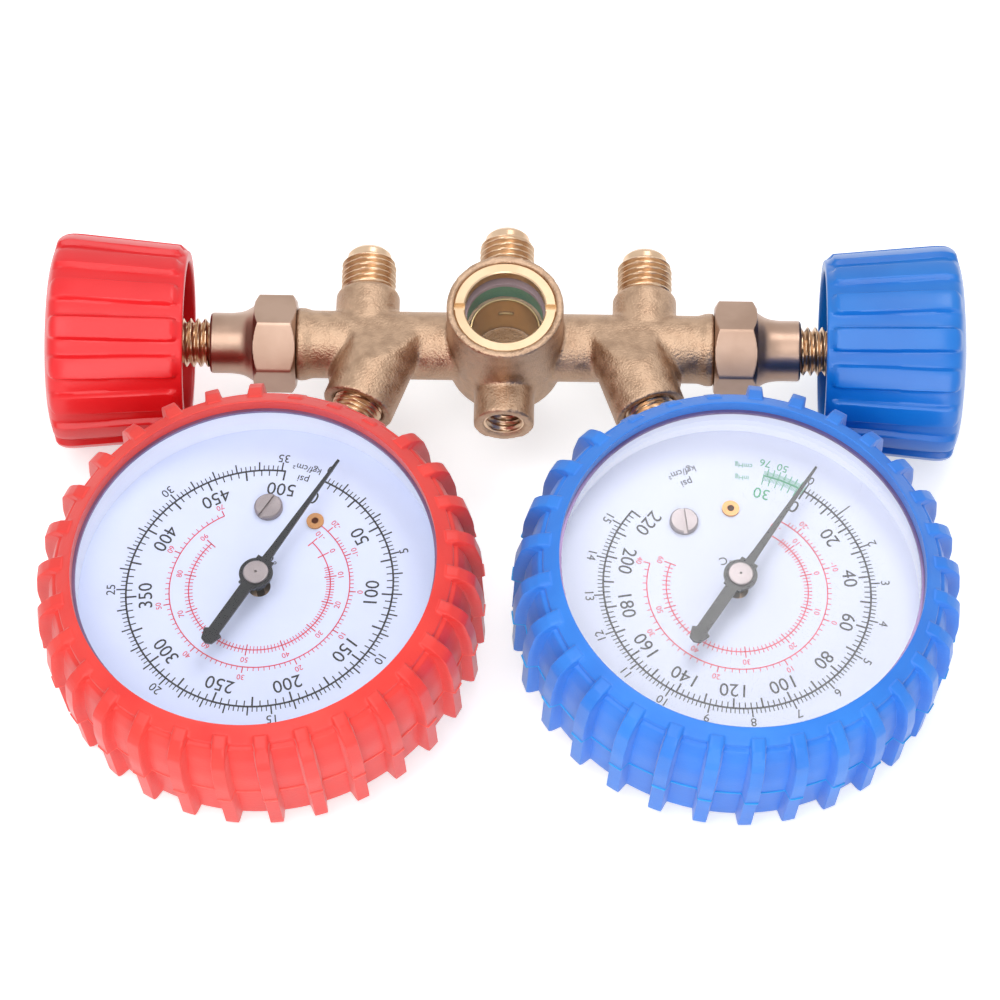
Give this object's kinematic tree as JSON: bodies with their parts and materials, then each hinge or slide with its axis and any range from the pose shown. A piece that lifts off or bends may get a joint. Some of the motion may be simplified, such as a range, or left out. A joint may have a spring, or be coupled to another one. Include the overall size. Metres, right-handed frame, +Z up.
{
  "type": "refrigerant manifold gauge",
  "caption": "Two-valve brass refrigerant manifold with sight glass, red and blue hand knobs, and two dial pressure gauges in ribbed rubber boots.",
  "frame": {"origin": "on the surface that the manifold lies on, under the middle of its outline", "axes": "+X along the bar to the low-pressure (blue) knob, +Y from the gauges to the hose ports, +Z up from the surface; the dials face up, and the whole lies on its knobs and boots, tipped 9.33 degrees about X"},
  "size_m": [0.188, 0.133, 0.0434],
  "materials": {
    "cast_brass": "cast, satin",
    "machined_brass": "turned, bright",
    "bronze_tube": "drawn, satin",
    "bright_steel": "bright",
    "case_steel": "black enamel",
    "clear_glass": "clear",
    "white_spacer": "matt",
    "dial_white": "printed, satin",
    "pointer_black": "satin",
    "green_gasket": "matt",
    "black_rubber": "matt",
    "red_knob_plastic": "glossy",
    "blue_knob_plastic": "glossy",
    "red_boot_rubber": "satin",
    "blue_boot_rubber": "satin"
  },
  "bodies": {
    "root": {"centre_flare_port": "machined_brass", "high_bonnet": "machined_brass", "high_bourdon_tube": "bronze_tube", "high_dial_eyelet": "machined_brass", "high_flare_port": "machined_brass", "high_gauge_bezel": "bright_steel", "high_gauge_boot": "red_boot_rubber", "high_gauge_case": "case_steel", "high_gauge_dial": "dial_white", "high_gauge_lens": "clear_glass", "high_gauge_socket": "machined_brass", "high_gauge_spacer": "white_spacer", "high_movement_frame": "machined_brass", "low_bonnet": "machined_brass", "low_bourdon_tube": "bronze_tube", "low_dial_eyelet": "machined_brass", "low_flare_port": "machined_brass", "low_gauge_bezel": "bright_steel", "low_gauge_boot": "blue_boot_rubber", "low_gauge_case": "case_steel", "low_gauge_dial": "dial_white", "low_gauge_lens": "clear_glass", "low_gauge_socket": "machined_brass", "low_gauge_spacer": "white_spacer", "low_movement_frame": "machined_brass", "manifold_body": "cast_brass", "sight_glass_gasket": "green_gasket", "sight_glass_lens": "clear_glass", "sight_glass_ring": "machined_brass"},
    "high_stem_seal": {"high_stem_o_ring": "black_rubber"},
    "high_valve_stem": {"high_spindle": "machined_brass", "high_knob": "red_knob_plastic", "high_knob_screw": "bright_steel"},
    "high_needle": {"high_pointer": "pointer_black", "high_pointer_cap": "bright_steel", "high_pinion_arbor": "machined_brass"},
    "high_sector": {"high_sector_gear": "machined_brass"},
    "high_drag_link": {"high_link": "machined_brass"},
    "high_zero_screw": {"high_dial_screw": "bright_steel"},
    "low_stem_seal": {"low_stem_o_ring": "black_rubber"},
    "low_valve_stem": {"low_spindle": "machined_brass", "low_knob": "blue_knob_plastic", "low_knob_screw": "bright_steel"},
    "low_needle": {"low_pointer": "pointer_black", "low_pointer_cap": "bright_steel", "low_pinion_arbor": "machined_brass"},
    "low_sector": {"low_sector_gear": "machined_brass"},
    "low_drag_link": {"low_link": "machined_brass"},
    "low_zero_screw": {"low_dial_screw": "bright_steel"}
  },
  "joints": [
    {"name": "high_stem_travel", "type": "slide", "parent": "root", "child": "high_stem_seal", "axis": [1, 0, 0], "range_m": [-0.00155, 0.00305]},
    {"name": "high_valve_turn", "type": "hinge", "parent": "high_stem_seal", "child": "high_valve_stem", "pos_m": [-0.039, 0.03987, 0.02182], "axis": [1, 0, 0], "range_deg": [-360, 720]},
    {"name": "high_needle_turn", "type": "hinge", "parent": "root", "child": "high_needle", "pos_m": [-0.04615, -0.02195, 0.01572], "axis": [0.0721, 0.1358, -0.9881], "range_deg": [-4.7, 337.5], "stiffness_Nm_per_rad": 0.0002},
    {"name": "high_sector_turn", "type": "hinge", "parent": "root", "child": "high_sector", "pos_m": [-0.03805, -0.03932, 0.01392], "axis": [-0.0721, -0.1358, 0.9881], "range_deg": [-2.5, 35]},
    {"name": "high_link_turn", "type": "hinge", "parent": "high_sector", "child": "high_drag_link", "pos_m": [-0.03348, -0.04243, 0.01504], "axis": [-0.0721, -0.1358, 0.9881], "range_deg": [-35, 2.5]},
    {"name": "high_zero_adjust", "type": "hinge", "parent": "root", "child": "high_zero_screw", "pos_m": [-0.04563, -0.00565, 0.02609], "axis": [0.0721, 0.1358, -0.9881], "range_deg": [-90, 90]},
    {"name": "low_stem_travel", "type": "slide", "parent": "root", "child": "low_stem_seal", "axis": [-1, 0, 0], "range_m": [-0.00155, 0.00305]},
    {"name": "low_valve_turn", "type": "hinge", "parent": "low_stem_seal", "child": "low_valve_stem", "pos_m": [0.039, 0.03987, 0.02182], "axis": [-1, 0, 0], "range_deg": [-360, 720]},
    {"name": "low_needle_turn", "type": "hinge", "parent": "root", "child": "low_needle", "pos_m": [0.0457, -0.02075, 0.01591], "axis": [-0.0721, 0.1358, -0.9881], "range_deg": [-19.2, 276.8], "stiffness_Nm_per_rad": 0.0002},
    {"name": "low_sector_turn", "type": "hinge", "parent": "root", "child": "low_sector", "pos_m": [0.06311, -0.02862, 0.01356], "axis": [0.0721, -0.1358, 0.9881], "range_deg": [-2.5, 35]},
    {"name": "low_link_turn", "type": "hinge", "parent": "low_sector", "child": "low_drag_link", "pos_m": [0.06863, -0.02797, 0.01446], "axis": [0.0721, -0.1358, 0.9881], "range_deg": [-35, 2.5]},
    {"name": "low_zero_adjust", "type": "hinge", "parent": "root", "child": "low_zero_screw", "pos_m": [0.03582, -0.00793, 0.02649], "axis": [-0.0721, 0.1358, -0.9881], "range_deg": [-90, 90]}
  ],
  "couplings": [
    {"joint": "high_stem_travel", "follows": "high_valve_turn", "m_per_rad": 0.00023873},
    {"joint": "high_sector_turn", "follows": "high_needle_turn", "ratio": 0.1},
    {"joint": "high_link_turn", "follows": "high_needle_turn", "ratio": -0.1},
    {"joint": "low_stem_travel", "follows": "low_valve_turn", "m_per_rad": 0.00023873},
    {"joint": "low_sector_turn", "follows": "low_needle_turn", "ratio": 0.1},
    {"joint": "low_link_turn", "follows": "low_needle_turn", "ratio": -0.1}
  ]
}
